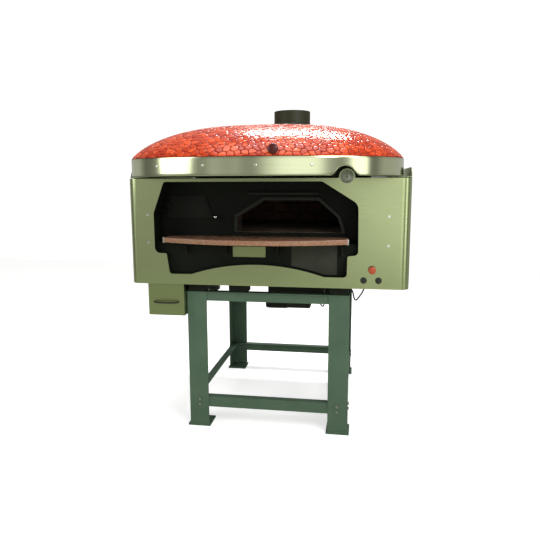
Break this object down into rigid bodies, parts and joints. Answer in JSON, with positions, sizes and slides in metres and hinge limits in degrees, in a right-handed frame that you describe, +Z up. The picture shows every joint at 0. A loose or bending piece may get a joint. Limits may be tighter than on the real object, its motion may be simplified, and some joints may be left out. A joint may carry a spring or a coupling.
{
  "type": "wood fired pizza oven",
  "caption": "Wood fired oven with a turning stone deck, mosaic dome, steel front with mouth, fire door and shelf, flue spigot, ash drawer and angle-iron stand.",
  "frame": {"origin": "floor level, under the middle of the oven's bounding box", "axes": "+Z up, the mouth faces -Y, +X to the right of someone who faces the mouth"},
  "size_m": [1.522, 1.6822, 1.79],
  "materials": {
    "stainless": "satin brushed stainless sheet",
    "black_steel": "black heat-proof paint, satin",
    "grey_steel": "dark grey heat-proof paint",
    "green_paint": "grey-green hammered enamel",
    "mosaic": "orange-red glazed mosaic with dark red joints",
    "shelf_stone": "polished red-brown granite",
    "deck_stone": "rough refractory stone, floured and scorched",
    "firebrick": "rough firebrick with soot",
    "insulation": "pale fibrous board and blanket",
    "cast_iron": "sooty cast iron",
    "bright_steel": "turned steel",
    "polished_steel": "polished",
    "motor_paint": "black cast housing paint",
    "black_plastic": "fine matt",
    "red_plastic": "smooth orange-red",
    "dark_red_plastic": "dark red phenolic knob",
    "rubber": "matt cable sheath",
    "dial_steel": "spun steel dial case"
  },
  "bodies": {
    "oven": {"stand_legs": "green_paint", "foot_plates": "green_paint", "top_rails": "green_paint", "lower_braces": "green_paint", "stand_bolts": "bright_steel", "spacer_blocks": "black_steel", "floor_pan": "black_steel", "floor_insulation": "insulation", "hearth_floor": "firebrick", "facade_panel": "stainless", "side_panel_left": "stainless", "side_panel_right": "stainless", "rear_panel": "stainless", "top_cover": "stainless", "recess_surround": "black_steel", "mouth_plate": "black_steel", "mouth_frame": "grey_steel", "firebrick_throats": "firebrick", "apron_panel": "black_steel", "access_cover": "grey_steel", "label_plate": "stainless", "stone_shelf": "shelf_stone", "shelf_brackets": "black_steel", "hood_soffit": "black_steel", "rim_band": "stainless", "rim_screws": "polished_steel", "facade_rivets": "polished_steel", "dome_shell": "mosaic", "insulation_blanket": "insulation", "vault": "firebrick", "flue_base": "grey_steel", "flue_pipe": "grey_steel", "door_hinge": "black_steel", "fire_grate": "cast_iron", "ash_chute": "grey_steel", "drawer_housing": "stainless", "bearing_housing": "grey_steel", "shaft_bearings": "bright_steel", "gearmotor": "motor_paint", "drive_tray": "black_steel", "control_box": "black_plastic", "switch_collars": "black_plastic", "thermometer_case": "dial_steel", "motor_cable": "rubber", "cable_glands": "black_plastic"},
    "deck": {"deck_stone": "deck_stone", "deck_carrier": "grey_steel", "deck_gear": "bright_steel"},
    "pinion": {"motor_pinion": "bright_steel"},
    "fire_door": {"fire_door": "black_steel", "door_knob": "polished_steel"},
    "ash_drawer": {"ash_drawer": "stainless", "drawer_handle": "black_plastic"},
    "damper": {"damper_rod": "bright_steel", "damper_blade": "grey_steel", "damper_knob": "dark_red_plastic"},
    "emergency_stop": {"estop_head": "red_plastic"},
    "start_button": {"start_button": "black_plastic"},
    "selector": {"selector_knob": "black_plastic"},
    "needle": {"thermometer_needle": "black_plastic"}
  },
  "joints": [
    {"name": "deck_spin", "type": "hinge", "parent": "oven", "child": "deck", "pos_m": [0.115, 0.3, 1.1], "axis": [0, 0, 1], "continuous": true},
    {"name": "pinion_spin", "type": "hinge", "parent": "oven", "child": "pinion", "pos_m": [0.115, 0.12, 0.75], "axis": [0, 0, 1], "continuous": true},
    {"name": "fire_door_swing", "type": "hinge", "parent": "oven", "child": "fire_door", "pos_m": [-0.576, -0.254, 1.25], "axis": [0, 0, -1], "range_deg": [0, 85]},
    {"name": "ash_drawer_slide", "type": "slide", "parent": "oven", "child": "ash_drawer", "axis": [0, -1, 0], "range_m": [0, 0.6]},
    {"name": "damper_turn", "type": "hinge", "parent": "oven", "child": "damper", "pos_m": [0.115, -0.5, 1.552], "axis": [0, 1, 0], "range_deg": [0, 90]},
    {"name": "emergency_stop_push", "type": "slide", "parent": "oven", "child": "emergency_stop", "axis": [0, 1, 0], "range_m": [0, 0.006]},
    {"name": "start_push", "type": "slide", "parent": "oven", "child": "start_button", "axis": [0, 1, 0], "range_m": [0, 0.004], "stiffness_N_per_m": 600},
    {"name": "selector_turn", "type": "hinge", "parent": "oven", "child": "selector", "pos_m": [0.603, -0.4, 0.894], "axis": [0, 1, 0], "range_deg": [-45, 45]},
    {"name": "needle_turn", "type": "hinge", "parent": "oven", "child": "needle", "pos_m": [0.431, -0.39, 1.432], "axis": [0, -1, 0], "range_deg": [-135, 135], "stiffness_Nm_per_rad": 0.01}
  ],
  "couplings": [
    {"joint": "pinion_spin", "follows": "deck_spin", "ratio": -4}
  ]
}
